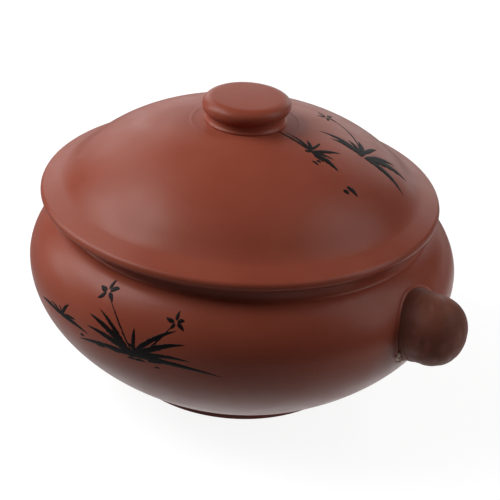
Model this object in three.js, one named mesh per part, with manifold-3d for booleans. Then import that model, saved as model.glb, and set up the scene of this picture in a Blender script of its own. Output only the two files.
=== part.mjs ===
// Squat stoneware steam-stewing pot with a loose domed lid, in millimetres, +Z up.
// The origin is the centre of the foot's underside, and the two lugs lie along X.
// The potter throws or cuts each ring, wall and knob by itself and lutes it to the next with slip.
import * as THREE from "three";
import { mergeVertices } from "three/addons/utils/BufferGeometryUtils.js";
import Module from "manifold-3d";

const wasm = await Module();
wasm.setup();

// Belly, turned about the pot's axis
const bellyRadius = 110;
const bellyHeight = 63.3;
const wall = 7;
const lowerBulgeShare = 0.49;
const upperBulgeShare = 0.364;
const shoulderReachShare = 0.625;
const shoulderFallShare = 0.162;

// Foot ring and the base disc that closes the belly
const footRadius = 60.9;
const footHeight = 2.8;
const footWidth = 10.9;
const footInset = 0.8;
const footRounding = 0.8;
const baseThickness = 7;
const baseSeat = 3.5;

// Mouth ring, which carries the lid, with a cove where it rises from the shoulder
const mouthRadius = 87;
const mouthWidth = 6;
const mouthHeight = 7.5;
const mouthRounding = 0.9;
const shoulderHeight = 88;
const coveWidth = 1;
const coveHeight = 2.6;
const neckLedge = 1.5;

// Hollow cone that brings steam from below into the pot
const steamInletRadius = 22;
const steamJetRadius = 6;
const chimneyWall = 5;
const chimneyFlare = 4;
const chimneyFlareHeight = 12;
const chimneyBelowMouth = 7.5;

// Lid: sloping brim, dome and the ring that keeps it in the mouth
const lidOverhang = 8.8;
const brimEdge = 5.6;
const creaseInset = 12.6;
const creaseRise = 10.35;
const seamInset = 3.3;
const domeStartInset = 5.2;
const domeRise = 43.1;
const lidWall = 6;
const domeShoulderShare = 0.19;
const domeCrownShare = 0.5;
const locatingPlay = 4.4;
const locatingWidth = 5.2;
const locatingDepth = 12;
const locatingRounding = 1.2;

// Button knob on its pedestal
const pedestalRadius = 20.2;
const pedestalHeight = 4.7;
const pedestalWaist = 0.9;
const waistHeightShare = 0.33;
const buttonRadius = 22.3;
const buttonThickness = 8.1;
const buttonCrown = 0.4;

// Lugs: a short stem with a ball head, tipped up, with a ridge of slip round the root
const lugBelowShoulder = 22.8;
const lugTilt = THREE.MathUtils.degToRad(6.5);
const lugStemRadius = 17.3;
const lugHeadRadius = 18;
const lugHeadReach = 5;
const lugCrease = 0.6;
const lugCreaseReach = 1.6;
const lugRootDepth = 14;
const ridgeWidth = 2.6;
const ridgeHeight = 2;

// Clearance kept where one curved piece is fitted to another
const fit = 0.3;

// Facets round each size of turned piece, and steps along the curves of its section
const potFacets = 56;
const knobFacets = 36;
const lugFacets = 24;
const bellySteps = 8;
const shoulderSteps = 6;
const domeSteps = 9;
const roundSteps = 8;
const flareSteps = 4;
const blendSteps = 3;

const at = (radius, height) => new THREE.Vector2(radius, height);

const bend = (start, pull, end, steps) => new THREE.QuadraticBezierCurve(start, pull, end).getPoints(steps);

const swing = (start, leave, arrive, end, steps) =>
  new THREE.CubicBezierCurve(start, leave, arrive, end).getPoints(steps);

// Arc about a centre, between two angles in quarter turns from the outward direction
function arc(centre, radius, fromQuarter, toQuarter, steps) {
  const quarter = Math.PI / 2;
  const curve = new THREE.EllipseCurve(
    centre.x, centre.y, radius, radius, fromQuarter * quarter, toQuarter * quarter, toQuarter < fromQuarter);
  return curve.getPoints(steps);
}

// Moves an open outline to its left by a wall's thickness
function inset(points, thickness) {
  return points.map((point, index) => {
    const before = points[Math.max(index - 1, 0)];
    const after = points[Math.min(index + 1, points.length - 1)];
    const along = after.clone().sub(before).normalize();
    return at(point.x - along.y * thickness, point.y + along.x * thickness);
  });
}

// Turns a closed half section, radius against height, about +Z
function turned(section, facets) {
  const isNew = (point, index) => index === 0 || !point.equals(section[index - 1]);
  const closed = section.filter(isNew);
  closed.push(section[0].clone());
  const geometry = new THREE.LatheGeometry(closed, facets);
  geometry.rotateX(Math.PI / 2);
  return geometry;
}

// Plain ring, with the corners at its low end cut back where it is softened
function ringSection(inner, outer, low, high, cut = 0) {
  return [
    at(inner + cut, low),
    at(outer - cut, low),
    at(outer, low + cut),
    at(outer, high),
    at(inner, high),
    at(inner, low + cut),
  ];
}

function toSolid(geometry) {
  const bare = geometry.clone();
  bare.deleteAttribute("normal");
  bare.deleteAttribute("uv");
  const merged = mergeVertices(bare);
  const vertProperties = new Float32Array(merged.attributes.position.array);
  const triVerts = new Uint32Array(merged.index.array);
  return new wasm.Manifold(new wasm.Mesh({ numProp: 3, vertProperties, triVerts }));
}

function toGeometry(solid) {
  const mesh = solid.getMesh();
  const geometry = new THREE.BufferGeometry();
  geometry.setAttribute("position", new THREE.BufferAttribute(mesh.vertProperties, mesh.numProp));
  geometry.setIndex(new THREE.BufferAttribute(mesh.triVerts, 1));
  geometry.computeVertexNormals();
  return geometry;
}

// Outer line of the belly, from the foot up to the flat shoulder
const { lerp, mapLinear } = THREE.MathUtils;
const mouthOuter = mouthRadius + mouthWidth;
const shoulder = at(mouthOuter + coveWidth, shoulderHeight);
const bellyFoot = at(footRadius - footInset, footHeight);
const bellyWidest = at(bellyRadius, bellyHeight);
const lowerPull = at(bellyRadius, lerp(footHeight, bellyHeight, lowerBulgeShare));
const upperPull = at(bellyRadius, lerp(bellyHeight, shoulderHeight, upperBulgeShare));
const shoulderPull = at(
  lerp(shoulder.x, bellyRadius, shoulderReachShare), lerp(shoulderHeight, bellyHeight, shoulderFallShare));
const bellyLine = [
  ...bend(bellyFoot, lowerPull, bellyWidest, bellySteps),
  ...swing(bellyWidest, upperPull, shoulderPull, shoulder, shoulderSteps).slice(1),
];

// Radius of the belly line at a height on it
function bellyAt(height) {
  const upper = bellyLine.findIndex((point) => point.y >= height);
  const above = bellyLine[upper];
  const below = bellyLine[upper - 1];
  return mapLinear(height, below.y, above.y, below.x, above.x);
}

// Solid of everything within the belly line grown by a thickness
function bellyBlock(growth) {
  const line = inset(bellyLine, -growth);
  const top = line[line.length - 1].y;
  return toSolid(turned([at(0, line[0].y), ...line, at(0, top)], potFacets));
}

const mouthTop = shoulderHeight + mouthHeight;
const baseTop = footHeight + baseThickness;
const baseRadius = footRadius - footWidth + baseSeat;

function potBody() {
  const inside = inset(bellyLine, wall).filter((point) => point.y > baseTop && point.y < shoulderHeight);
  const floorEdge = at(baseRadius + fit, footHeight);
  const section = [
    floorEdge,
    ...bellyLine,
    at(mouthRadius + neckLedge, shoulderHeight),
    ...inside.reverse(),
    at(floorEdge.x, baseTop),
  ];
  return turned(section, potFacets);
}

function baseDisc() {
  return turned(ringSection(steamInletRadius, baseRadius, footHeight, baseTop), potFacets);
}

function footRing() {
  return turned(ringSection(footRadius - footWidth, footRadius, 0, footHeight, footRounding), potFacets);
}

function mouthRing() {
  const coveTop = at(mouthOuter, shoulderHeight + coveHeight);
  const section = [
    at(mouthRadius, shoulderHeight),
    ...bend(shoulder, at(mouthOuter, shoulderHeight), coveTop, blendSteps),
    at(mouthOuter, mouthTop - mouthRounding),
    at(mouthOuter - mouthRounding, mouthTop),
    at(mouthRadius + mouthRounding, mouthTop),
    at(mouthRadius, mouthTop - mouthRounding),
  ];
  return turned(section, potFacets);
}

// Flared at its seat on the base disc and closing to a jet just under the mouth
function steamChimney() {
  const top = mouthTop - chimneyBelowMouth;
  const flareTop = baseTop + chimneyFlareHeight;
  const boreAt = (height) => mapLinear(height, baseTop, top, steamInletRadius, steamJetRadius);
  const seat = at(steamInletRadius + chimneyWall + chimneyFlare, baseTop);
  const flarePull = at(boreAt(baseTop) + chimneyWall, baseTop + chimneyFlare);
  const lipRadius = chimneyWall / 2;
  const lip = at(steamJetRadius + lipRadius, top - lipRadius);
  const section = [
    ...bend(seat, flarePull, at(boreAt(flareTop) + chimneyWall, flareTop), flareSteps),
    ...arc(lip, lipRadius, 0, 2, roundSteps),
    at(steamInletRadius, baseTop),
  ];
  return turned(section, knobFacets);
}

// Both lugs point along +X here, and their axis meets the belly's surface a little above its widest line
const lugHeight = shoulderHeight - lugBelowShoulder;
const lugSeat = new THREE.Vector3(bellyAt(lugHeight), 0, lugHeight);

function placedAtLug(geometry) {
  geometry.rotateY(Math.PI / 2 - lugTilt);
  geometry.translate(lugSeat.x, lugSeat.y, lugSeat.z);
  return toSolid(geometry);
}

function lugHead() {
  const stem = lugCreaseReach - lugCrease;
  const creaseEnd = lugCreaseReach + lugCrease;
  const headStart = Math.asin((creaseEnd - lugHeadReach) / lugHeadRadius) / (Math.PI / 2);
  const section = [
    at(0, -lugRootDepth),
    at(lugStemRadius, -lugRootDepth),
    at(lugStemRadius, stem),
    at(lugStemRadius - lugCrease, lugCreaseReach),
    ...arc(at(0, lugHeadReach), lugHeadRadius, headStart, 1, roundSteps),
  ];
  // The ball closes on the lug's own axis
  section[section.length - 1].x = 0;
  const solid = placedAtLug(turned(section, lugFacets));
  return toGeometry(solid.subtract(bellyBlock(fit)));
}

function lugRidge() {
  const inner = lugHeadRadius + fit;
  const reach = lugHeadRadius;
  const tube = placedAtLug(turned(ringSection(inner, inner + ridgeWidth, -lugRootDepth, reach), lugFacets));
  return toGeometry(tube.intersect(bellyBlock(ridgeHeight)).subtract(bellyBlock(fit)));
}

// The lid is drawn from its own seat plane, which rests on the mouth ring
const brimRadius = mouthOuter + lidOverhang;
const locatingRadius = mouthRadius - locatingPlay;
const lidBore = locatingRadius - locatingWidth;
const crease = at(brimRadius - creaseInset, creaseRise);
const brimSlope = (() => {
  // The brim's top is the tangent from the crease to the round edge
  const edge = brimEdge / 2;
  const toEdge = at(brimRadius - edge, edge).sub(crease);
  return Math.atan2(-toEdge.y, toEdge.x) - Math.asin(edge / toEdge.length());
})();
const seam = at(crease.x + seamInset, crease.y - seamInset * Math.tan(brimSlope));

function lidBrim() {
  const edge = brimEdge / 2;
  const topQuarter = 1 - brimSlope / (Math.PI / 2);
  const section = [
    at(lidBore, 0),
    ...arc(at(brimRadius - edge, edge), edge, -1, topQuarter, roundSteps),
    seam,
    at(lidBore, seam.y),
  ];
  return turned(section, potFacets);
}

function domeLine() {
  const start = at(crease.x - domeStartInset, crease.y + domeStartInset);
  const leave = start.clone().add(at(-start.x, start.x).multiplyScalar(domeShoulderShare));
  const arrive = at(start.x * domeCrownShare, domeRise);
  const dome = swing(start, leave, arrive, at(0, domeRise), domeSteps);
  return [...bend(seam, crease, start, blendSteps), ...dome.slice(1)];
}

const domeOutside = domeLine();
const knobSeat = (() => {
  // The crown is levelled off where the pedestal stands on it
  const outer = domeOutside.findIndex((point) => point.x < pedestalRadius);
  const below = domeOutside[outer - 1];
  const above = domeOutside[outer];
  return mapLinear(pedestalRadius, below.x, above.x, below.y, above.y);
})();

function lidDome() {
  const outside = domeOutside.filter((point) => point.x > pedestalRadius);
  const inside = inset(domeOutside, lidWall).filter((point) => point.y > seam.y && point.x > 0);
  const lowest = inside[0];
  const highest = inside[inside.length - 1];
  const section = [
    ...outside,
    at(pedestalRadius, knobSeat),
    at(0, knobSeat),
    at(0, highest.y),
    ...inside.reverse(),
    at(lowest.x, seam.y),
  ];
  return turned(section, potFacets);
}

function locatingRing() {
  return turned(ringSection(lidBore, locatingRadius, -locatingDepth, 0, locatingRounding), potFacets);
}

function knobPedestal() {
  const foot = at(pedestalRadius, knobSeat);
  const top = at(pedestalRadius - pedestalWaist, knobSeat + pedestalHeight);
  const waist = at(pedestalRadius - pedestalWaist, knobSeat + pedestalHeight * waistHeightShare);
  return turned([at(0, foot.y), ...bend(foot, waist, top, blendSteps), at(0, top.y)], knobFacets);
}

function knobButton() {
  const edge = buttonThickness / 2;
  const low = knobSeat + pedestalHeight;
  const centre = at(buttonRadius - edge, low + edge);
  const crown = at(centre.x / 2, low + buttonThickness + buttonCrown);
  const top = at(0, low + buttonThickness + buttonCrown);
  const rim = arc(centre, edge, -1, 1, roundSteps);
  return turned([at(0, low), ...rim, ...bend(rim[rim.length - 1], crown, top, blendSteps)], knobFacets);
}

const redClay = () => new THREE.MeshStandardMaterial({ color: 0x974c3b, roughness: 0.5, metalness: 0 });
const darkClay = () => new THREE.MeshStandardMaterial({ color: 0x56352d, roughness: 0.5, metalness: 0 });

function piece(name, geometry, material) {
  const mesh = new THREE.Mesh(geometry, material);
  mesh.name = name;
  return mesh;
}

const pot = new THREE.Group();
pot.add(
  piece("pot_body", potBody(), redClay()),
  piece("base_disc", baseDisc(), redClay()),
  piece("foot_ring", footRing(), redClay()),
  piece("mouth_ring", mouthRing(), redClay()),
  piece("steam_chimney", steamChimney(), redClay()),
);

for (const [side, turn] of [["right", 0], ["left", Math.PI]]) {
  const lug = new THREE.Group();
  lug.rotation.z = turn;
  lug.add(
    piece(`lug_${side}`, lugHead(), darkClay()),
    piece(`lug_ridge_${side}`, lugRidge(), redClay()),
  );
  pot.add(lug);
}

// The lid is loose, and lies pushed over to the left side of the mouth
const lidShift = locatingPlay - fit;
const lid = new THREE.Group();
lid.position.set(-lidShift, 0, mouthTop);
lid.add(
  piece("lid_brim", lidBrim(), redClay()),
  piece("lid_dome", lidDome(), redClay()),
  piece("lid_locating_ring", locatingRing(), redClay()),
  piece("knob_pedestal", knobPedestal(), redClay()),
  piece("knob_button", knobButton(), redClay()),
);

const group = new THREE.Group();
group.add(pot, lid);

export default group;
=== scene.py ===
# Burnished red clay steam pot with a loose domed lid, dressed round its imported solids.
# Sections are in millimetres, radius against height, and go into metres as each mesh is made.
import math

import bpy
import numpy as np
from mathutils import Matrix, Vector


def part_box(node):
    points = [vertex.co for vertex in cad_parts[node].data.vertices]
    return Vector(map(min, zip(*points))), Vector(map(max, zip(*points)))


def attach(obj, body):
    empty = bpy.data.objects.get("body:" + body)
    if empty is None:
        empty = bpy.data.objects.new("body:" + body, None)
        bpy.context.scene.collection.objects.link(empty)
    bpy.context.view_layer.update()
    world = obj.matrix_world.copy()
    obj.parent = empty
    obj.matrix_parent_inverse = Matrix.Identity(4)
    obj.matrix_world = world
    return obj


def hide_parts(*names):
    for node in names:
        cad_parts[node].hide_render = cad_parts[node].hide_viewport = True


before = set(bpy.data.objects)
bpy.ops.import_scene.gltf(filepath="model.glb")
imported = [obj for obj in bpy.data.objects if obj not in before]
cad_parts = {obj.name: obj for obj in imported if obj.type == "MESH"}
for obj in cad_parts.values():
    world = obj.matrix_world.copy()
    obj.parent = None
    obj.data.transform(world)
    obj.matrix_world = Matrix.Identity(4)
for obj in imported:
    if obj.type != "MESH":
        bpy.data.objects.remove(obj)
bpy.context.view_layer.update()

MM = 0.001


def spread(node):
    """Outer radius, lowest height and highest height of a turned node, in millimetres."""
    low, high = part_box(node)
    return high.y / MM, low.z / MM, high.z / MM


def axis_place(node):
    """The place where a turned node's axis stands along X, in millimetres."""
    low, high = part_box(node)
    return (low.x + high.x) / 2 / MM


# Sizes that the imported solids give
BELLY_RADIUS, FOOT_HEIGHT, SHOULDER_HEIGHT = spread("pot_body")
BASE_TOP = spread("base_disc")[2]
FOOT_RADIUS = spread("foot_ring")[0]
SHOULDER_RADIUS, _, MOUTH_TOP = spread("mouth_ring")
CHIMNEY_SEAT, _, CHIMNEY_TOP = spread("steam_chimney")
BRIM_RADIUS, _, SEAM_HEIGHT = spread("lid_brim")
SEAM_RADIUS = spread("lid_dome")[0]
LIP_RADIUS, LIP_LOW, _ = spread("lid_locating_ring")
PEDESTAL_RADIUS, _, PEDESTAL_TOP = spread("knob_pedestal")
BUTTON_RADIUS, _, BUTTON_TOP = spread("knob_button")
LID_MIDDLE = axis_place("lid_brim")

# Sizes inside those, in millimetres, and shares of them
BELLY_HEIGHT = 63.3
WALL = 7
LOWER_BULGE_SHARE = 0.49
UPPER_BULGE_SHARE = 0.364
SHOULDER_REACH_SHARE = 0.625
SHOULDER_FALL_SHARE = 0.162
FOOT_INSET = 0.8
FOOT_WIDTH = 10.9
MOUTH_RADIUS = 87
COVE_WIDTH = 1
COVE_HEIGHT = 2.6
NECK_LEDGE = 1.5
STEAM_INLET = 22
STEAM_JET = 6
CHIMNEY_WALL = 5
CHIMNEY_FLARE = 4
CHIMNEY_FLARE_HEIGHT = 12
BRIM_BEAD = 2.8
CREASE_INSET = 12.6
CREASE_RISE = 10.35
DOME_START_INSET = 5.2
DOME_RISE = 43.1
DOME_SHOULDER_SHARE = 0.19
DOME_CROWN_SHARE = 0.5
LID_WALL = 6
LIP_WIDTH = 5.2
SLIP_FILLET_RADIUS = 26.4
SLIP_FILLET_RISE = 0.2
SLIP_RING_RADIUS = 27.2
SLIP_RING_WIDTH = 0.9
SLIP_RING_RISE = 0.12
SLIP_REACH = SLIP_RING_RADIUS + 3 * SLIP_RING_WIDTH
KNOB_TIP = 0.036
LUG_BELOW_SHOULDER = 22.8
LUG_TILT = math.radians(6.5)
LUG_ROOT = 18.2
LUG_STEM = 17.8
LUG_HEAD = 17.6
LUG_HEAD_LENGTH = 17.8
LUG_HEAD_REACH = 5
LUG_SQUARENESS = 2.4
LUG_CREASE = 0.3
LUG_CREASE_REACH = 1.6
LUG_DENTS = 1.2
RIDGE_WIDTH = 2.6
RIDGE_HEIGHT = 2
RIDGE_OVERLAP = 0.3
RIDGE_START = LUG_ROOT - RIDGE_OVERLAP
RIDGE_THINNING = 0.5
JOINT_GAP = 0.05

# Columns round a pot-sized piece, the knob and a lug, and the longest step along a section
POT_COLUMNS = 320
KNOB_COLUMNS = 192
LUG_COLUMNS = 144
LONGEST_STEP = 1.8


# The pot is seen from in front of its right side
VIEW_TURN = math.radians(36.5)


def stand(right, away, up):
    """A place to the right of the pot's middle, away from the camera and up, as the camera has them."""
    return Vector((right, away, up)) @ Matrix.Rotation(-VIEW_TURN, 3, "Z")


# Section lines


def bend(start, pull, end, steps):
    """Quadratic Bezier line: (1-t)^2 start + 2t(1-t) pull + t^2 end."""
    t = np.linspace(0, 1, steps + 1)[:, None]
    start, pull, end = np.array(start), np.array(pull), np.array(end)
    return (1 - t) ** 2 * start + 2 * t * (1 - t) * pull + t ** 2 * end


def swing(start, leave, arrive, end, steps):
    """Cubic Bezier line: (1-t)^3 start + 3t(1-t)^2 leave + 3t^2(1-t) arrive + t^3 end."""
    t = np.linspace(0, 1, steps + 1)[:, None]
    start, leave, arrive, end = (np.array(point) for point in (start, leave, arrive, end))
    return (1 - t) ** 3 * start + 3 * t * (1 - t) ** 2 * leave + 3 * t ** 2 * (1 - t) * arrive + t ** 3 * end


def arc(centre, radius, start, stop, steps):
    """Centre + radius (cos a, sin a), with a in degrees from start to stop."""
    angle = np.radians(np.linspace(start, stop, steps + 1))
    return np.array(centre) + radius * np.stack([np.cos(angle), np.sin(angle)], 1)


def softened(before, corner, after, reach, steps=6):
    """Corner rounded by a bend between the points that lie a reach before it and after it."""
    before, corner, after = np.array(before), np.array(corner), np.array(after)
    start = corner + (before - corner) * reach / np.linalg.norm(before - corner)
    end = corner + (after - corner) * reach / np.linalg.norm(after - corner)
    return bend(start, corner, end, steps)


def softened_line(corners, closed=False):
    """Straight-sided line through corners given as radius, height and reach of their rounding."""
    points = [corner[:2] for corner in corners]
    parts = []
    for index, (_, _, reach) in enumerate(corners):
        if reach:
            after = points[(index + 1) % len(points)]
            parts.append(softened(points[index - 1], points[index], after, reach))
        else:
            parts.append([points[index]])
    line = np.vstack(parts)
    return np.vstack([line, line[:1]]) if closed else line


def offset(line, distance):
    """Line moved to its left by a distance, along its normal at each point."""
    along = np.gradient(line, axis=0)
    along /= np.linalg.norm(along, axis=1)[:, None]
    return line + distance * np.stack([-along[:, 1], along[:, 0]], 1)


def stepped(line):
    """The same line without doubled points, each long segment cut into equal steps."""
    doubled = 1e-6
    length = np.linalg.norm(np.diff(line, axis=0), axis=1)
    line = line[np.concatenate([[True], length > doubled])]
    length = np.linalg.norm(np.diff(line, axis=0), axis=1)
    steps = np.ceil(length / LONGEST_STEP).astype(int)
    segment = np.repeat(np.arange(len(steps)), steps)
    share = (np.arange(steps.sum()) - np.repeat(np.cumsum(steps) - steps, steps)) / steps[segment]
    return np.vstack([line[segment] + share[:, None] * (line[segment + 1] - line[segment]), line[-1:]])


belly_foot = (FOOT_RADIUS - FOOT_INSET, FOOT_HEIGHT)
belly_widest = (BELLY_RADIUS, BELLY_HEIGHT)
shoulder = (SHOULDER_RADIUS, SHOULDER_HEIGHT)
lower_pull = (BELLY_RADIUS, FOOT_HEIGHT + (BELLY_HEIGHT - FOOT_HEIGHT) * LOWER_BULGE_SHARE)
upper_pull = (BELLY_RADIUS, BELLY_HEIGHT + (SHOULDER_HEIGHT - BELLY_HEIGHT) * UPPER_BULGE_SHARE)
shoulder_pull = (SHOULDER_RADIUS + (BELLY_RADIUS - SHOULDER_RADIUS) * SHOULDER_REACH_SHARE,
                 SHOULDER_HEIGHT + (BELLY_HEIGHT - SHOULDER_HEIGHT) * SHOULDER_FALL_SHARE)
belly_line = np.vstack([
    bend(belly_foot, lower_pull, belly_widest, steps=56),
    swing(belly_widest, upper_pull, shoulder_pull, shoulder, steps=40)[1:],
])

crease = (BRIM_RADIUS - CREASE_INSET, MOUTH_TOP + CREASE_RISE)
seam = (SEAM_RADIUS, SEAM_HEIGHT)
dome_start = (crease[0] - DOME_START_INSET, crease[1] + DOME_START_INSET)
crown = (0, MOUTH_TOP + DOME_RISE)
dome_leave = (dome_start[0] * (1 - DOME_SHOULDER_SHARE), dome_start[1] + dome_start[0] * DOME_SHOULDER_SHARE)
dome_arrive = (dome_start[0] * DOME_CROWN_SHARE, crown[1])
dome_line = np.vstack([
    bend(seam, crease, dome_start, steps=16),
    swing(dome_start, dome_leave, dome_arrive, crown, steps=72)[1:],
])


def along_line(line, axis, value):
    """Radius and height of a section line, and its outward normal, where its radius (axis 0) or its height
    (axis 1) has a value."""
    order = np.argsort(line[:, axis])
    normal = -(offset(line, 1) - line)
    radius, height = (np.interp(value, line[order, axis], line[order, k]) for k in (0, 1))
    out, rise = (np.interp(value, line[order, axis], normal[order, k]) for k in (0, 1))
    return radius, height, out, rise


# Meshes


def hand_turned(points):
    """Draws points in towards the pot's axis by at most 0.25 mm, in slow waves round the pot and up its
    height: depth (1/2 + 1/4 cos(2a + h/60) + 1/4 cos(3a - h/45)), fading out within 40 mm of the axis."""
    depth, fade, climb, fall = 0.25, 40, 60, 45
    radius = np.hypot(points[..., 0], points[..., 1])
    angle = np.arctan2(points[..., 1], points[..., 0])
    height = points[..., 2]
    wave = 0.5 + 0.25 * np.cos(2 * angle + height / climb) + 0.25 * np.cos(3 * angle - height / fall)
    share = 1 - depth * wave * np.minimum(radius / fade, 1) / np.maximum(radius, 1)
    return points * np.stack([share, share, np.ones_like(share)], -1)


def piece(name, points, faces, material, body, nodes=(), turning=None):
    """Smooth mesh object from points in millimetres, riding on a body in place of some nodes."""
    mesh = bpy.data.meshes.new(name)
    mesh.from_pydata((hand_turned(points) * MM).tolist(), [], faces)
    mesh.polygons.foreach_set("use_smooth", np.ones(len(mesh.polygons), bool))
    if turning is not None:
        mesh.attributes.new("turning", "FLOAT", "POINT").data.foreach_set("value", turning * MM)
    mesh.materials.append(material)
    made = bpy.data.objects.new(name, mesh)
    bpy.context.scene.collection.objects.link(made)
    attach(made, body)
    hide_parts(*nodes)


def grid_faces(rows, columns, first=0, closed=False):
    """Quads between neighbouring rows of a grid whose columns join round, and whose rows may join too."""
    row = np.arange(rows if closed else rows - 1)[:, None]
    column = np.arange(columns)[None, :]
    above, beside = (row + 1) % rows, (column + 1) % columns
    quads = np.stack([row * columns + column, row * columns + beside,
                      above * columns + beside, above * columns + column], -1)
    return (quads.reshape(-1, 4) + first).tolist()


def capped_faces(rows, columns, first=0):
    """Faces of a grid whose columns join round, with a fan at each end to one of the two poles, which are
    kept after its points."""
    column = np.arange(columns)
    beside, last = (column + 1) % columns, (rows - 1) * columns
    pole = np.full(columns, rows * columns)
    low = np.stack([beside, column, pole], 1)
    high = np.stack([last + column, last + beside, pole + 1], 1)
    return grid_faces(rows, columns, first) + (np.concatenate([low, high]) + first).tolist()


def turned(line, columns):
    """Points, faces and line lengths of a section turned about +Z: (r cos a, r sin a, h).
    It runs counter-clockwise, and closes on itself or starts and ends on the axis."""
    line = stepped(line)
    length = np.concatenate([[0], np.cumsum(np.linalg.norm(np.diff(line, axis=0), axis=1))])
    closed = np.allclose(line[0], line[-1])
    ring = slice(0, -1) if closed else slice(1, -1)
    angle = np.arange(columns) * math.tau / columns
    radius, height = line[ring, 0][:, None], line[ring, 1][:, None]
    grid = np.stack([radius * np.cos(angle), radius * np.sin(angle), height + 0 * angle], -1)
    points, turning = grid.reshape(-1, 3), np.repeat(length[ring], columns)
    if closed:
        return points, grid_faces(len(grid), columns, closed=True), turning
    poles = [[0, 0, line[0, 1]], [0, 0, line[-1, 1]]]
    turning = np.concatenate([turning, [0, length[-1]]])
    return np.vstack([points, poles]), capped_faces(len(grid), columns), turning


def turned_piece(name, line, columns, material, body, nodes):
    """Piece turned about the pot's axis, or about the lid's, which lies pushed to one side."""
    points, faces, turning = turned(line, columns)
    points[:, 0] += LID_MIDDLE if body == "lid" else 0
    piece(name, points, faces, material, body, nodes, turning)


# Materials


def linear(code):
    """Linear colour of an sRGB hex code."""
    parts = [int(code[start:start + 2], 16) / 255 for start in (0, 2, 4)]
    return [part / 12.92 if part <= 0.04045 else ((part + 0.055) / 1.055) ** 2.4 for part in parts] + [1]


def add(tree, kind, inputs=(), **settings):
    """Adds a shader node with its settings, and links or sets its inputs from a dict of sockets."""
    made = tree.nodes.new("ShaderNode" + kind)
    for name, value in settings.items():
        setattr(made, name, value)
    for socket, value in dict(inputs).items():
        if isinstance(value, bpy.types.NodeSocket):
            tree.links.new(value, made.inputs[socket])
        else:
            made.inputs[socket].default_value = value
    return made


def new_material(name):
    """Empty node material, with its tree and its output node."""
    made = bpy.data.materials.new(name)
    made.use_nodes = True
    made.node_tree.nodes.clear()
    return made, made.node_tree, add(made.node_tree, "OutputMaterial")


def noise(tree, coordinates, grain, detail=2.0, roughness=0.5):
    """Noise whose lumps are about as wide as the grain, in millimetres."""
    inputs = {"Vector": coordinates, "Scale": 1 / (grain * MM), "Detail": detail, "Roughness": roughness}
    return add(tree, "TexNoise", inputs).outputs["Fac"]


def between(tree, factor, low, high, low_value, high_value):
    """Factor mapped from low..high to two values, smoothly."""
    inputs = {"Value": factor, "From Min": low, "From Max": high, "To Min": low_value, "To Max": high_value}
    return add(tree, "MapRange", inputs, interpolation_type="SMOOTHSTEP").outputs["Result"]


def blend_colour(tree, factor, first, second):
    """Mix of two colours, each a hex code or another node's output.
    The Mix node's colours go in at its sockets 6 and 7 and come out at 2."""
    colours = [linear(colour) if isinstance(colour, str) else colour for colour in (first, second)]
    inputs = {0: factor, 6: colours[0], 7: colours[1]}
    return add(tree, "Mix", inputs, data_type="RGBA").outputs[2]


def turning_marks(tree, position, spacing):
    """Noise drawn out round the pot: fine steps along the section, long ones round it."""
    round_share = 0.03
    along = add(tree, "Attribute", attribute_name="turning").outputs["Fac"]
    parts = add(tree, "SeparateXYZ", {"Vector": position})
    across = [add(tree, "Math", {0: parts.outputs[axis], 1: round_share}, operation="MULTIPLY").outputs[0]
              for axis in ("X", "Y")]
    drawn = add(tree, "CombineXYZ", {"X": across[0], "Y": across[1], "Z": along}).outputs["Vector"]
    return noise(tree, drawn, spacing, detail=3.0, roughness=0.6)


def fired_clay(name, tones, gloss, specular, mark_depth, grain_depth):
    """Unglazed clay body: two tones in slow clouds, light and dark specks of sand, turning marks where they
    have a depth, and a fine grain. Sizes and depths are in millimetres, and gloss is the range of its
    roughness. A band is the stretch of its noise over which one tone or finish changes to the next."""
    cloud, speck, sand, patch, mark_spacing = 45, 0.9, 0.7, 12, 1.6
    cloud_band, patch_band = (0.35, 0.65), (0.3, 0.7)
    light_band, light_share = (0.62, 0.74), 0.35
    dark_band, dark_share = (0.38, 0.28), 0.3
    made, tree, output = new_material(name)
    position = add(tree, "TexCoord").outputs["Object"]
    clouds = noise(tree, position, cloud, detail=3.0)
    specks = noise(tree, position, speck, detail=2.0, roughness=0.7)
    colour = blend_colour(tree, between(tree, clouds, *cloud_band, 0, 1), tones[0], tones[1])
    colour = blend_colour(tree, between(tree, specks, *light_band, 0, light_share), colour, tones[2])
    colour = blend_colour(tree, between(tree, specks, *dark_band, 0, dark_share), colour, tones[3])
    grain = noise(tree, position, sand, detail=3.0, roughness=0.65)
    bump = add(tree, "Bump", {"Height": grain, "Strength": 1, "Distance": grain_depth * MM})
    if mark_depth:
        lines = turning_marks(tree, position, mark_spacing)
        bump = add(tree, "Bump", {"Height": lines, "Strength": 1, "Distance": mark_depth * MM,
                                  "Normal": bump.outputs["Normal"]})
    finish = noise(tree, position, patch, detail=3.0)
    shader = add(tree, "BsdfPrincipled", {
        "Base Color": colour,
        "Roughness": between(tree, finish, *patch_band, *gloss),
        "Specular IOR Level": specular,
        "Normal": bump.outputs["Normal"],
    })
    tree.links.new(shader.outputs["BSDF"], output.inputs["Surface"])
    return made


# Red stoneware clay, rubbed smooth with a spoon while leather hard and fired without glaze: an even brick
# red with a soft sheen, faint lines of turning and grains of sand that hardly show
red_clay = fired_clay("burnished_red_stoneware_clay", ("9e503d", "984a38", "b46d57", "73362b"),
                      gloss=(0.3, 0.37), specular=0.18, mark_depth=0.015, grain_depth=0.006)

# The same clay on the chimney and the ring under the lid, only sponged, so duller and with clearer lines
inner_clay = fired_clay("sponged_red_stoneware_clay", ("95493a", "8a4032", "b0654f", "6e2f25"),
                        gloss=(0.55, 0.7), specular=0.3, mark_depth=0.05, grain_depth=0.015)

# Dark brown stoneware clay of the lugs, rolled and pressed on by hand, smoothed with a wet finger
brown_clay = fired_clay("smoothed_brown_stoneware_clay", ("7c4739", "714030", "92624f", "42251f"),
                        gloss=(0.5, 0.62), specular=0.2, mark_depth=0, grain_depth=0.02)

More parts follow.
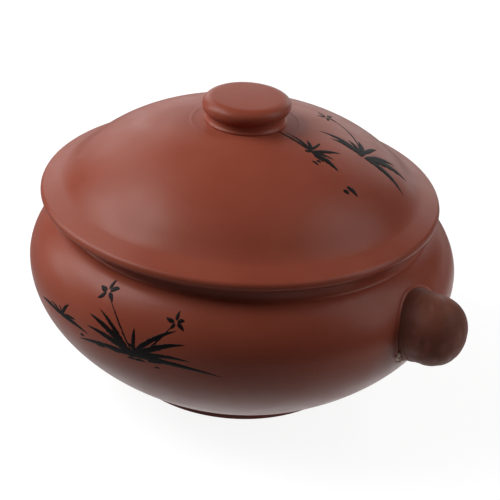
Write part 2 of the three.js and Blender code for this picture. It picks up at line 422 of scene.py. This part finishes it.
# Flakes of the slip that sets the lugs, left where they weren't wiped away, with a slight sheen; their
# near-white colour is partly real pale slip and partly a painted glint, so that they show bright in the lug's
# shade
slip_and_glint = fired_clay("pale_slip_and_painted_glint", ("f0cdb4", "e6bca0", "f8dfcc", "c09078"),
                        gloss=(0.4, 0.5), specular=0.5, mark_depth=0, grain_depth=0.02)


def black_slip():
    """Black slip rubbed into cut lines and scraped level: a warm near-black, dull, with a fine grain."""
    grain, depth, band = 0.8, 0.05, (0.4, 0.65)
    made, tree, output = new_material("scraped_black_slip")
    position = add(tree, "TexCoord").outputs["Object"]
    scrape = noise(tree, position, grain, detail=3.0, roughness=0.7)
    colour = blend_colour(tree, between(tree, scrape, *band, 0, 1), "070404", "191110")
    bump = add(tree, "Bump", {"Height": scrape, "Strength": 1, "Distance": depth * MM})
    shader = add(tree, "BsdfPrincipled", {
        "Base Color": colour,
        "Roughness": 0.5,
        "Specular IOR Level": 0.12,
        "Normal": bump.outputs["Normal"],
    })
    tree.links.new(shader.outputs["BSDF"], output.inputs["Surface"])
    return made


black_inlay = black_slip()

# Turned pieces


def pot_shell():
    """Belly wall and floor, thrown as one and trimmed: the wall is the belly line and its inward offset."""
    floor_rounding = 9
    floor_end, neck_start = BASE_TOP + floor_rounding, SHOULDER_HEIGHT - NECK_LEDGE
    inside = offset(belly_line, WALL)
    inside = inside[(inside[:, 1] > floor_end) & (inside[:, 1] < neck_start)]
    neck = (MOUTH_RADIUS + NECK_LEDGE, SHOULDER_HEIGHT)
    floor_corner = (inside[0][0] - floor_rounding, BASE_TOP)
    floor_pull = (inside[0][0] - floor_rounding / 3, BASE_TOP)
    line = np.vstack([
        [(STEAM_INLET, BASE_TOP), (STEAM_INLET, FOOT_HEIGHT)],
        belly_line,
        [neck],
        inside[::-1],
        bend(inside[0], floor_pull, floor_corner, steps=8)[1:],
        [(STEAM_INLET, BASE_TOP)],
    ])
    turned_piece("pot_shell", line, POT_COLUMNS, red_clay, "pot", ("pot_body", "base_disc"))


def foot():
    """Low ring, rounded where it stands and nearly sharp where it meets the belly."""
    inner_edge, outer_edge, seat_edge = 1, 0.9, 0.3
    inner = FOOT_RADIUS - FOOT_WIDTH
    line = softened_line([
        (inner, 0, inner_edge),
        (FOOT_RADIUS, 0, outer_edge),
        (FOOT_RADIUS, FOOT_HEIGHT, seat_edge),
        (inner, FOOT_HEIGHT, seat_edge),
    ], closed=True)
    turned_piece("foot", line, POT_COLUMNS, red_clay, "pot", ("foot_ring",))


def mouth_lip():
    """Low collar that rises from the shoulder through a cove."""
    cove_rise, rim_edge, seat_edge = 0.4, 1.2, 0.3
    outer = SHOULDER_RADIUS - COVE_WIDTH
    pull, cove_top = (outer, SHOULDER_HEIGHT + cove_rise), (outer, SHOULDER_HEIGHT + COVE_HEIGHT)
    rim = softened_line([
        (*shoulder, 0),
        (outer, MOUTH_TOP, rim_edge),
        (MOUTH_RADIUS, MOUTH_TOP, rim_edge),
        (MOUTH_RADIUS, SHOULDER_HEIGHT, seat_edge),
    ])
    line = np.vstack([bend(shoulder, pull, cove_top, steps=10), rim[1:], [shoulder]])
    turned_piece("mouth_lip", line, POT_COLUMNS, red_clay, "pot", ("mouth_ring",))


def chimney():
    """Hollow cone over the steam inlet, flared at its seat and rounded at its jet."""
    def wall(height):
        return np.interp(height, [BASE_TOP, CHIMNEY_TOP], [STEAM_INLET, STEAM_JET]) + CHIMNEY_WALL
    flare_top = BASE_TOP + CHIMNEY_FLARE_HEIGHT
    flare_pull = (wall(BASE_TOP), BASE_TOP + CHIMNEY_FLARE)
    lip = CHIMNEY_WALL / 2
    line = np.vstack([
        bend((CHIMNEY_SEAT, BASE_TOP), flare_pull, (wall(flare_top), flare_top), steps=12),
        arc((STEAM_JET + lip, CHIMNEY_TOP - lip), lip, 0, 180, steps=14),
        [(STEAM_INLET, BASE_TOP), (CHIMNEY_SEAT, BASE_TOP)],
    ])
    turned_piece("chimney", line, KNOB_COLUMNS, inner_clay, "pot", ("steam_chimney",))


def lid_surface(radius):
    """Height of the lid's dome at a radius, with the slip that is smoothed out round the knob's foot: a
    fillet, rise s^1.5 with s from 0 at its edge to 1 at the foot, and a faint ring outside it,
    rise exp(-((r - ring) / width)^2)."""
    height = along_line(dome_line, 0, radius)[1]
    near = np.clip((SLIP_FILLET_RADIUS - radius) / (SLIP_FILLET_RADIUS - PEDESTAL_RADIUS), 0, 1)
    ring = SLIP_RING_RISE * np.exp(-((radius - SLIP_RING_RADIUS) / SLIP_RING_WIDTH) ** 2)
    return height + SLIP_FILLET_RISE * near ** 1.5 + ring


def lid_shell():
    """Brim and dome in one: round edge, straight slope, soft crease, and the dome up to the knob's seat."""
    tuck, throat_width, throat_drop = 1, 1, 3
    bore = LIP_RADIUS - LIP_WIDTH
    edge_centre = np.array((BRIM_RADIUS - BRIM_BEAD, MOUTH_TOP + BRIM_BEAD))
    toward = edge_centre - np.array(crease)
    slope = math.atan2(-toward[1], toward[0]) - math.asin(BRIM_BEAD / np.hypot(*toward))
    under_knob = PEDESTAL_RADIUS - tuck
    top = dome_line[dome_line[:, 0] > SLIP_REACH]
    fillet = np.linspace(SLIP_REACH, under_knob, num=48)
    inside = offset(dome_line, LID_WALL)
    inside = inside[(inside[:, 0] < bore - throat_width) & (inside[:, 0] > 0)]
    throat = (bore, inside[0][1] - throat_drop)
    line = np.vstack([
        [(0, inside[-1][1])],
        inside[::-1],
        bend(inside[0], (bore, inside[0][1]), throat, steps=6)[1:],
        [(bore, MOUTH_TOP)],
        arc(edge_centre, BRIM_BEAD, -90, 90 - math.degrees(slope), steps=20),
        top,
        np.stack([fillet, lid_surface(fillet)], 1),
        [(0, lid_surface(under_knob))],
    ])
    turned_piece("lid_shell", line, POT_COLUMNS, red_clay, "lid", ("lid_brim", "lid_dome"))


def lid_lip():
    """Ring under the lid, rounded below and nearly sharp where it meets the lid."""
    low_edge, seat_edge = 1.4, 0.2
    inner = LIP_RADIUS - LIP_WIDTH
    line = softened_line([
        (inner, LIP_LOW, low_edge),
        (LIP_RADIUS, LIP_LOW, low_edge),
        (LIP_RADIUS, MOUTH_TOP, seat_edge),
        (inner, MOUTH_TOP, seat_edge),
    ], closed=True)
    turned_piece("lid_lip", line, POT_COLUMNS, inner_clay, "lid", ("lid_locating_ring",))


def knob_stem():
    """Plinth with a crisp lower edge under a neck, which ends inside the cap that it carries."""
    plinth_height, plinth_edge, plinth_reach, sunk = 1.0, 0.5, 0.6, 0.5
    neck_rise, waist, hollow, hollow_rise, tenon = 1.2, 0.4, 0.3, 3, 1.2
    low = lid_surface(PEDESTAL_RADIUS) - sunk
    plinth, plinth_top = PEDESTAL_RADIUS + plinth_reach, low + plinth_height
    neck = PEDESTAL_RADIUS - waist
    neck_pull = (neck - hollow, plinth_top + hollow_rise)
    line = np.vstack([
        [(0, low), (plinth, low)],
        arc((plinth - plinth_edge, plinth_top), plinth_edge, 0, 60, steps=6),
        bend((neck, plinth_top + neck_rise), neck_pull, (neck, PEDESTAL_TOP), steps=8),
        [(neck, PEDESTAL_TOP + tenon), (0, PEDESTAL_TOP + tenon)],
    ])
    turned_piece("knob_stem", line, KNOB_COLUMNS, red_clay, "lid", ("knob_pedestal",))


def knob_cap():
    """Cap like a flat pebble, made by hand a little thicker towards the view's left."""
    edge, fullness, shoulder_width, shoulder_drop = 4, 0.6, 5.5, 0.3
    top, widest = BUTTON_TOP, PEDESTAL_TOP + edge
    turn_in = np.array((BUTTON_RADIUS - shoulder_width, top - shoulder_drop))
    crown_pull = np.array((turn_in[0] / 2, top))
    arrive = turn_in + 0.5 * shoulder_width * (turn_in - crown_pull) / np.linalg.norm(turn_in - crown_pull)
    leave = (BUTTON_RADIUS, widest + fullness * (turn_in[1] - widest))
    line = np.vstack([
        [(0, PEDESTAL_TOP)],
        arc((BUTTON_RADIUS - edge, widest), edge, -90, 0, steps=14),
        swing((BUTTON_RADIUS, widest), leave, arrive, turn_in, steps=24)[1:],
        bend(turn_in, crown_pull, (0, top), steps=16)[1:],
    ])
    points, faces, turning = turned(line, KNOB_COLUMNS)
    below_top = np.clip((top - points[:, 2]) / (top - widest), 0, 1)
    points[:, 2] += KNOB_TIP * below_top * (points @ stand(1, 0, 0))
    points[:, 0] += LID_MIDDLE
    piece("knob_cap", points, faces, red_clay, "lid", ("knob_button",), turning)


# Lugs


lug_height = SHOULDER_HEIGHT - LUG_BELOW_SHOULDER
lug_seat = np.array([along_line(belly_line, 1, lug_height)[0], 0, lug_height])
lug_axis = np.array([math.cos(LUG_TILT), 0, math.sin(LUG_TILT)])
lug_up = np.array([-math.sin(LUG_TILT), 0, math.cos(LUG_TILT)])


def round_lug(radius, reach, angle):
    """Points round the lug's axis: seat + reach along it + radius (cos a) across + radius (sin a) up."""
    across = np.array([0, 1, 0])
    ring = np.cos(angle)[..., None] * across + np.sin(angle)[..., None] * lug_up
    return lug_seat + reach[..., None] * lug_axis + radius[..., None] * ring


def belly_reach(radius, angle, lift):
    """How far along the lug's axis the belly, grown by a lift, meets lines at a radius and angle. It is found
    by halving the stretch between the nearest and the furthest place that it can be."""
    nearest, furthest, halvings = -20.0, 8.0, 30
    low = np.full(np.broadcast(radius, angle).shape, nearest)
    high = np.full_like(low, furthest)
    radius = radius + 0 * low
    for _ in range(halvings):
        middle = (low + high) / 2
        point = round_lug(radius, middle, angle + 0 * low)
        surface = along_line(belly_line, 1, point[..., 2])[0] + lift
        outside = np.hypot(point[..., 0], point[..., 1]) > surface
        low, high = np.where(outside, low, middle), np.where(outside, middle, high)
    return (low + high) / 2


def about_z(points, turn):
    """Points turned about +Z."""
    cosine, sine = math.cos(turn), math.sin(turn)
    return points @ np.array([[cosine, sine, 0], [-sine, cosine, 0], [0, 0, 1]])


def finger_pressed(points, seed):
    """Draws points in towards the head's middle, as thumbs have pressed them: depth max(w, 0)^1.5, where w is
    the mean of cos(k.p + phase) over some waves. It fades in over the first few millimetres of the reach."""
    waves, shortest, longest, fade_reach = 7, 7, 16, 6
    random = np.random.default_rng(seed)
    ways = random.normal(size=(waves, 3))
    length = random.uniform(shortest, longest, waves)
    ways *= (math.tau / length / np.linalg.norm(ways, axis=1))[:, None]
    out = points - (lug_seat + LUG_HEAD_REACH * lug_axis)
    wave = np.cos(out @ ways.T + random.uniform(0, math.tau, waves)).mean(-1)
    fade = np.clip((points - lug_seat) @ lug_axis / fade_reach, 0, 1)
    draw = LUG_DENTS * fade * np.maximum(wave, 0) ** 1.5
    return points - draw[..., None] * out / np.linalg.norm(out, axis=-1, keepdims=True)


def lug(side, turn, seed):
    """Ball head on a short stem that tapers from its saddle-shaped root, as rings round the lug's axis.
    The ball is pressed a little flat: (r / radius)^p + (reach / length)^p = 1."""
    rings, head_rings = 10, 60
    angle = np.arange(LUG_COLUMNS) * math.tau / LUG_COLUMNS
    root_share = np.linspace(1 / rings, 1, rings)[:, None]
    root = belly_reach(root_share * LUG_ROOT, angle, JOINT_GAP)
    root_rows = round_lug(root_share * LUG_ROOT + 0 * angle, root, angle + 0 * root)
    bulge = np.radians(np.linspace(0, 90, head_rings))
    head = np.stack([LUG_HEAD * np.cos(bulge) ** (2 / LUG_SQUARENESS),
                     LUG_HEAD_REACH + LUG_HEAD_LENGTH * np.sin(bulge) ** (2 / LUG_SQUARENESS)], 1)[:-1]
    crease_start = (LUG_STEM, LUG_CREASE_REACH - LUG_CREASE)
    crease_pull = (LUG_STEM - LUG_CREASE, LUG_CREASE_REACH)
    crease_end = (LUG_HEAD - LUG_CREASE / 3, LUG_CREASE_REACH + LUG_CREASE)
    crease_line = bend(crease_start, crease_pull, crease_end, steps=8)
    section = np.vstack([crease_line, head])
    stem_share = np.linspace(0, 1, rings)[1:-1, None]
    stem_reach = root[-1] + stem_share * (crease_line[0, 1] - root[-1])
    stem_radius = LUG_ROOT + (LUG_STEM - LUG_ROOT) * stem_share
    stem_rows = round_lug(stem_radius + 0 * stem_reach, stem_reach, angle + 0 * stem_reach)
    reach = section[:, 1][:, None] + 0 * angle
    head_rows = round_lug(section[:, 0][:, None] + 0 * angle, reach, angle + 0 * reach)
    rows = np.concatenate([root_rows, stem_rows, head_rows])
    poles = [lug_seat + JOINT_GAP * lug_axis, lug_seat + (LUG_HEAD_REACH + LUG_HEAD_LENGTH) * lug_axis]
    points = about_z(finger_pressed(np.vstack([rows.reshape(-1, 3), poles]), seed), turn)
    faces = capped_faces(len(rows), LUG_COLUMNS)
    piece(f"lug_{side}_clay", points, faces, brown_clay, "pot", (f"lug_{side}",))


def ridge_bulge(out):
    """Relative height of the ridge at x, from -1 to 1 across it: (1 - lean x) sqrt(1 - x^2)."""
    lean = 0.7
    return (1 - lean * out) * np.sqrt(1 - out ** 2)


def slip_ridge(side, turn, seed):
    """Slip squeezed up round the root: a bead on the belly, steep at the lug and run out thin on its far
    side, narrow and low above the lug. Its width and height wander by shares of half the sum of
    cos(na + phase) / n^0.7, with n from 2 to 8."""
    columns, section_steps = 240, 16
    first_wave, last_wave = 2, 8
    mean_width, width_wander = 0.95, 0.12
    mean_height, height_wander = 0.5, 0.2
    angle = np.arange(columns) * math.tau / columns
    order = np.arange(first_wave, last_wave + 1)[:, None]
    phase = np.random.default_rng(seed).uniform(0, math.tau, len(order))
    wander = (np.cos(order * angle + phase[:, None]) / order ** 0.7).sum(0) / 2
    around = np.linspace(0, math.tau, section_steps, endpoint=False)[:, None]
    thinning = 1 - RIDGE_THINNING * np.clip(np.sin(angle), 0, 1)
    width = RIDGE_WIDTH / 2 * (mean_width + width_wander * wander) * thinning
    height = RIDGE_HEIGHT * (mean_height + height_wander * wander) * thinning
    radius = RIDGE_START + width * (1 + np.cos(around))
    lift = np.where(np.sin(around) > 0, height * ridge_bulge(np.cos(around)), JOINT_GAP * np.sin(around))
    reach = belly_reach(radius, angle, 0.0) + lift
    rows = round_lug(radius, reach, angle + 0 * reach)
    points = about_z(rows.reshape(-1, 3), turn)
    faces = grid_faces(section_steps, columns, closed=True)
    piece(f"slip_ridge_{side}", points, faces, red_clay, "pot", (f"lug_ridge_{side}",))


def slip_crumbs(side, turn, seed):
    """Flakes of dried slip smeared from the belly on to the root's lower corner, on the side towards the
    view: ragged balls pressed flat, closer to the lug's axis the further they reach along it. Their
    near-white colour is partly a painted glint. Angles are in degrees round that axis, sizes in millimetres."""
    count, rings, columns = 24, 5, 8
    smallest, widest, longest, thickness = 0.4, 1.2, 1.5, 0.4
    raggedness = (0.7, 1.2)
    clear, smear_width, smear_height, lift = 0.4, 1.8, 1.6, 0.3
    smear_start, smear_end = 204, 238
    random = np.random.default_rng(seed)
    rise = np.radians(np.linspace(-90, 90, rings + 2)[1:-1])[:, None]
    around = np.arange(columns) * math.tau / columns
    level = np.cos(rise)
    ball = np.stack([level * np.cos(around), level * np.sin(around), np.sin(rise) + 0 * around], -1)
    ball = np.vstack([ball.reshape(-1, 3), [(0, 0, -1), (0, 0, 1)]])
    width = random.uniform(smallest, widest, count)
    length = random.uniform(smallest, longest, count)
    size = np.stack([width, length, np.full(count, thickness)], 1)
    flakes = ball * random.uniform(*raggedness, (count, len(ball), 1)) * size[:, None]
    share = random.uniform(0, 1, (count, 1))
    out = (1 - share) * random.uniform(0, smear_width, (count, 1))
    radius = LUG_ROOT + clear + out + flakes[..., 0]
    angle = np.radians(random.uniform(smear_start, smear_end, (count, 1))) + flakes[..., 1] / LUG_ROOT
    reach = belly_reach(radius, angle, lift) + share * smear_height + flakes[..., 2]
    points = about_z(round_lug(radius, reach, angle).reshape(-1, 3), turn)
    faces = []
    for first in range(0, len(points), len(ball)):
        faces += capped_faces(rings, columns, first)
    # The flakes' near-white colour is partly a painted glint at the root
    piece(f"slip_crumbs_{side}", points, faces, slip_and_glint, "pot")


# Sprays of grass cut into the clay and filled with black slip


SPRAY_COLUMNS = 8
SPRAY_STEPS = 36
SLIP_PROUD = 0.1
BELLY_SPRAY_TURN = math.radians(-87)
BELLY_SPRAY_HEIGHT = 70
LID_SPRAY_TURN = math.radians(25)
LID_SPRAY_RADIUS = 52
LID_SPRAY_STRETCH = 1.5


def on_belly(along, up, lift):
    """Belly point from a distance along its girth and one up from the spray's middle, raised along its
    normal."""
    radius, height, out, rise = along_line(belly_line, 1, BELLY_SPRAY_HEIGHT + up)
    angle = BELLY_SPRAY_TURN + along / BELLY_RADIUS
    radius = radius + out * lift
    return np.stack([radius * np.cos(angle), radius * np.sin(angle), height + rise * lift], -1)


def on_lid(along, up, lift):
    """Dome point from a distance out towards the brim and one round it, raised along its normal.
    Heights are drawn out, since they are seen from a low angle."""
    radius, _, out, rise = along_line(dome_line, 0, LID_SPRAY_RADIUS + along)
    height = lid_surface(radius)
    angle = LID_SPRAY_TURN + LID_SPRAY_STRETCH * up / LID_SPRAY_RADIUS
    radius = radius + out * lift
    return np.stack([LID_MIDDLE + radius * np.cos(angle), radius * np.sin(angle), height + rise * lift], -1)


def tuft(random, root, blades, fan, reach, width):
    """Blades from one root: each leaves at its angle in the fan and droops, as start, pull, end and width.
    Heights are flattened, so that the tuft spreads low."""
    stray, shortest, root_spread = 7, 0.6, (1.6, 0.5)
    half, flatness, carry, droop = 0.55, 0.62, 1.05, 0.42
    thin, thick = 0.7, 1.1
    angle = np.radians(np.linspace(*fan, blades) + random.uniform(-stray, stray, blades))
    length = reach * random.uniform(shortest, 1, blades)[:, None]
    start = np.array(root) + random.uniform(-1, 1, (blades, 2)) * root_spread
    pull = start + half * length * np.stack([np.cos(angle), flatness * np.sin(angle)], 1)
    end = pull + half * length * np.stack([carry * np.cos(angle), flatness * np.sin(angle) - droop], 1)
    return start, pull, end, width * random.uniform(thin, thick, blades)


def blossom(random, middle, petals, size, width):
    """Petals round a middle, each a short bent stroke."""
    first, gap, stray, flatness = 0.2, 0.8, 0.25, 0.8
    heart, bow, shortest, longest = 0.18, 0.15, 0.75, 1.1
    angle = np.linspace(first, math.tau - gap, petals) + random.uniform(-stray, stray, petals)
    out = np.stack([np.cos(angle), flatness * np.sin(angle)], 1)
    side = np.stack([-out[:, 1], out[:, 0]], 1)
    length = size * random.uniform(shortest, longest, petals)[:, None]
    start = np.array(middle) + heart * length * out
    pull = start + 0.5 * length * out + bow * length * side
    return start, pull, start + length * out, np.full(petals, width)


def dashes(random, middle, count, spread_out, length, width):
    """Short level strokes and dots strewn round a middle, for stones and seeds."""
    shortest, slant, bow, thin, thick = 0.3, 0.08, 0.6, 0.7, 1.2
    start = np.array(middle) + random.uniform(-1, 1, (count, 2)) * spread_out
    run = length * random.uniform(shortest, 1, count)[:, None] * np.array([[1, slant]])
    return start, start + run / 2 + (0, bow), start + run, width * random.uniform(thin, thick, count)


def stalk(root, pull, tip, width):
    """One bent stroke from a root to a tip."""
    return np.array([root]), np.array([pull]), np.array([tip]), np.array([width])


def inlay(name, body, surface, groups, random):
    """Strokes as flat lens-shaped tubes on a surface. Along each, t runs from 0 to 1 on its Bezier line, and
    its half width is width/2 sin(pi t^0.7)^0.8, made ragged at random; the lens stands a little proud."""
    raggedness = 0.16
    start, pull, end, width = (np.concatenate([group[k] for group in groups]) for k in range(4))
    t = np.linspace(0, 1, SPRAY_STEPS + 2)[1:-1, None]
    start, pull, end = start[:, None], pull[:, None], end[:, None]
    middle = (1 - t) ** 2 * start + 2 * t * (1 - t) * pull + t ** 2 * end
    along = 2 * (1 - t) * (pull - start) + 2 * t * (end - pull)
    along /= np.linalg.norm(along, axis=-1, keepdims=True)
    ragged = 1 + raggedness * random.uniform(-1, 1, (len(width), SPRAY_STEPS, 2))
    half = width[:, None] / 2 * np.sin(math.pi * t[:, 0] ** 0.7) ** 0.8
    around = np.arange(SPRAY_COLUMNS) * math.tau / SPRAY_COLUMNS
    side = np.where(np.cos(around) > 0, ragged[..., :1], ragged[..., 1:])
    across = half[..., None] * side * np.cos(around)
    left = np.stack([-along[..., 1], along[..., 0]], -1)
    flat = middle[:, :, None] + across[..., None] * left[:, :, None]
    lift = SLIP_PROUD * np.sin(around) + 0 * across
    grid = surface(flat[..., 0], flat[..., 1], lift).reshape(len(width), -1, 3)
    ends = np.concatenate([start, end], 1)
    poles = surface(ends[..., 0], ends[..., 1], 0.0)
    points = np.concatenate([grid, poles], 1)
    per_stroke = SPRAY_STEPS * SPRAY_COLUMNS + 2
    faces = []
    for first in range(0, len(width) * per_stroke, per_stroke):
        faces += capped_faces(SPRAY_STEPS, SPRAY_COLUMNS, first)
    piece(name, points.reshape(-1, 3), faces, black_inlay, body)


def belly_spray():
    """A tall tuft right of the middle, a low one far left, two blossoms and a strew of stones."""
    random = np.random.default_rng(21)
    groups = [
        tuft(random, root=(14, -12), blades=9, fan=(12, 168), reach=46, width=3.0),
        tuft(random, root=(17, -12), blades=5, fan=(25, 140), reach=24, width=2.4),
        tuft(random, root=(-34, -11), blades=6, fan=(20, 160), reach=22, width=2.2),
        stalk(root=(15, -12), pull=(6, 4), tip=(-6, 11), width=0.9),
        blossom(random, middle=(-7, 12), petals=5, size=6, width=2.0),
        stalk(root=(18, -12), pull=(30, 4), tip=(33, 8), width=0.9),
        blossom(random, middle=(34, 9), petals=5, size=5, width=1.8),
        dashes(random, middle=(0, -14), count=9, spread_out=(30, 1.5), length=9, width=1.8),
    ]
    inlay("belly_spray", "pot", on_belly, groups, random)


def lid_spray():
    """Two leaning tufts with one blossom between them."""
    random = np.random.default_rng(5)
    groups = [
        tuft(random, root=(-12, -16), blades=7, fan=(20, 165), reach=26, width=2.4),
        tuft(random, root=(8, 0), blades=8, fan=(16, 155), reach=28, width=2.6),
        stalk(root=(8, 0), pull=(2, 14), tip=(-4, 23), width=0.9),
        blossom(random, middle=(-5, 24), petals=5, size=5, width=1.8),
        dashes(random, middle=(-2, -18), count=6, spread_out=(18, 1.5), length=7, width=1.5),
    ]
    inlay("lid_spray", "lid", on_lid, groups, random)


pot_shell()
foot()
mouth_lip()
chimney()
lid_shell()
lid_lip()
knob_stem()
knob_cap()
for side, turn, lug_seed in (("right", 0, 8), ("left", math.pi, 3)):
    lug(side, turn, lug_seed)
    slip_ridge(side, turn, seed=7)
slip_crumbs("right", turn=0, seed=11)
belly_spray()
lid_spray()

# The camera stands in front of the pot's right side and looks down at it
CAMERA_DISTANCE = 0.7239
CAMERA_HEIGHT = 0.4569
CAMERA_YAW = math.radians(0.28)
CAMERA_PITCH = math.radians(28.426)
CAMERA_ROLL = math.radians(4.18)
LENS = 113.85
SENSOR = 36
FURTHEST_SEEN = 200


def place_camera():
    """Camera on the view's side of the pot, turned by its yaw, its pitch and its roll."""
    yaw, pitch = CAMERA_YAW, CAMERA_PITCH
    forward = stand(math.sin(yaw) * math.cos(pitch), math.cos(yaw) * math.cos(pitch), -math.sin(pitch))
    level = forward.cross(Vector((0, 0, 1))).normalized()
    upright = level.cross(forward)
    side = level * math.cos(CAMERA_ROLL) + upright * math.sin(CAMERA_ROLL)
    top = upright * math.cos(CAMERA_ROLL) - level * math.sin(CAMERA_ROLL)
    camera = bpy.data.objects.new("camera", bpy.data.cameras.new("camera"))
    camera.data.lens = LENS
    camera.data.sensor_width = SENSOR
    camera.data.clip_end = FURTHEST_SEEN
    turn = Matrix((side, top, -forward)).transposed()
    camera.matrix_world = Matrix.Translation(stand(0, -CAMERA_DISTANCE, CAMERA_HEIGHT)) @ turn.to_4x4()
    bpy.context.scene.collection.objects.link(camera)
    bpy.context.scene.camera = camera


# Softboxes: name, degrees round from the view's right, degrees up, width and height in metres, and watts
LAMP_DISTANCE = 1.15
LAMP_TARGET = 0.08
LAMPS = (
    ("left_softbox", 180, 42, 0.7, 0.7, 7.7),
    ("left_front_softbox", 200, 42, 0.7, 0.7, 1.6),
    ("left_back_softbox", 150, 42, 0.7, 0.7, 1.8),
    ("left_low_panel", 165, 15, 0.5, 0.5, 2.25),
    ("right_softbox", 0, 42, 0.7, 0.7, 3.2),
    ("right_low_panel", -13, 18, 0.5, 0.5, 1.6),
    ("back_left_panel", 120, 25, 0.5, 0.5, 1.1),
    ("back_right_panel", 60, 25, 0.5, 0.5, 0.8),
)

# How white the camera sees the paper's glow and the room
PAPER_SHOWN = 0.9
ROOM_SHOWN = 1

# Brightness in reflections: of the paper round a middle, full within one distance and dark beyond the
# next, and of the sweep behind the pot on its right, from one distance to the next along its way
PAPER_MIDDLE = stand(0.08, -0.02, 0)
PAPER_LIT = 0.08
PAPER_DARK = 0.34
REFLECTED_PAPER = 1.0
SWEEP_WAY = stand(0.6, 0.8, 0)
SWEEP_START = 0.4
SWEEP_FULL = 1.2
REFLECTED_SWEEP = 1.0

# Cosines of the angles from straight behind the pot between which the reflected room turns white
ROOM_START = 0.75
ROOM_FULL = 0.95


def softbox(name, azimuth, elevation, width, height, power):
    """Rectangular lamp on a sphere round the pot, aimed at its middle."""
    data = bpy.data.lights.new(name, "AREA")
    data.shape = "RECTANGLE"
    data.size, data.size_y, data.energy = width, height, power
    lamp = bpy.data.objects.new(name, data)
    round_turn, rise = math.radians(azimuth), math.radians(elevation)
    level = math.cos(rise)
    toward = stand(math.cos(round_turn) * level, math.sin(round_turn) * level, math.sin(rise))
    lamp.location = Vector((0, 0, LAMP_TARGET)) + LAMP_DISTANCE * toward
    lamp.rotation_euler = toward.to_track_quat("Z", "Y").to_euler()
    lamp.visible_camera = False
    bpy.context.scene.collection.objects.link(lamp)


def seen_ray(tree):
    """1 for rays from the camera, a reflection or a transmission, and otherwise 0."""
    path = add(tree, "LightPath").outputs
    pair = add(tree, "Math", {0: path["Is Camera Ray"], 1: path["Is Glossy Ray"]}, operation="ADD")
    return add(tree, "Math", {0: pair.outputs[0], 1: path["Is Transmission Ray"]}, operation="ADD",
               use_clamp=True).outputs[0]


def seen_strength(tree, mirrored, shown):
    """Strength of a glow that the camera sees at one level and reflections at another."""
    camera_ray = add(tree, "LightPath").outputs["Is Camera Ray"]
    level = add(tree, "Mix", {0: camera_ray, 2: mirrored, 3: shown}).outputs[0]
    return add(tree, "Math", {0: seen_ray(tree), 1: level}, operation="MULTIPLY").outputs[0]


def paper_floor():
    """Paper sweep: a matt grey, lifted to white where it is seen, so that a soft shadow still shows.
    The pot reflects only the paper close round it and the sweep behind it, not the dark room in front."""
    half = 30
    made, tree, output = new_material("white_paper_floor")
    paper = add(tree, "BsdfPrincipled", {
        "Base Color": linear("828282"),
        "Roughness": 0.9,
        "Specular IOR Level": 0.1,
    })
    position = add(tree, "TexCoord").outputs["Object"]
    distance = add(tree, "VectorMath", {0: position, 1: PAPER_MIDDLE}, operation="DISTANCE").outputs["Value"]
    away = add(tree, "VectorMath", {0: position, 1: SWEEP_WAY}, operation="DOT_PRODUCT").outputs["Value"]
    close = between(tree, distance, PAPER_LIT, PAPER_DARK, REFLECTED_PAPER, 0)
    behind = between(tree, away, SWEEP_START, SWEEP_FULL, 0, REFLECTED_SWEEP)
    mirrored = add(tree, "Math", {0: close, 1: behind}, operation="MAXIMUM").outputs[0]
    glow = add(tree, "Emission", {
        "Color": linear("ffffff"),
        "Strength": seen_strength(tree, mirrored, PAPER_SHOWN),
    })
    lifted = add(tree, "AddShader", {0: paper.outputs[0], 1: glow.outputs[0]})
    tree.links.new(lifted.outputs[0], output.inputs["Surface"])
    mesh = bpy.data.meshes.new("floor")
    corners = [(-half, -half, 0), (half, -half, 0), (half, half, 0), (-half, half, 0)]
    mesh.from_pydata(corners, [], [(0, 1, 2, 3)])
    mesh.materials.append(made)
    floor = bpy.data.objects.new("floor", mesh)
    bpy.context.scene.collection.objects.link(floor)


def studio():
    """Room round the pot: white where the camera sees it, white behind the pot in reflections, and dark
    elsewhere."""
    world = bpy.data.worlds.new("studio")
    bpy.context.scene.world = world
    world.use_nodes = True
    tree = world.node_tree
    tree.nodes.clear()
    direction = add(tree, "TexCoord").outputs["Generated"]
    straight_back = stand(0, 1, 0)
    away = add(tree, "VectorMath", {0: direction, 1: straight_back}, operation="DOT_PRODUCT").outputs["Value"]
    behind = between(tree, away, ROOM_START, ROOM_FULL, 0, REFLECTED_SWEEP)
    backdrop = add(tree, "Background", {
        "Color": linear("ffffff"),
        "Strength": seen_strength(tree, behind, ROOM_SHOWN),
    })
    output = add(tree, "OutputWorld")
    tree.links.new(backdrop.outputs[0], output.inputs["Surface"])


place_camera()
for lamp in LAMPS:
    softbox(*lamp)
paper_floor()
studio()
bpy.context.scene.view_settings.view_transform = "Standard"
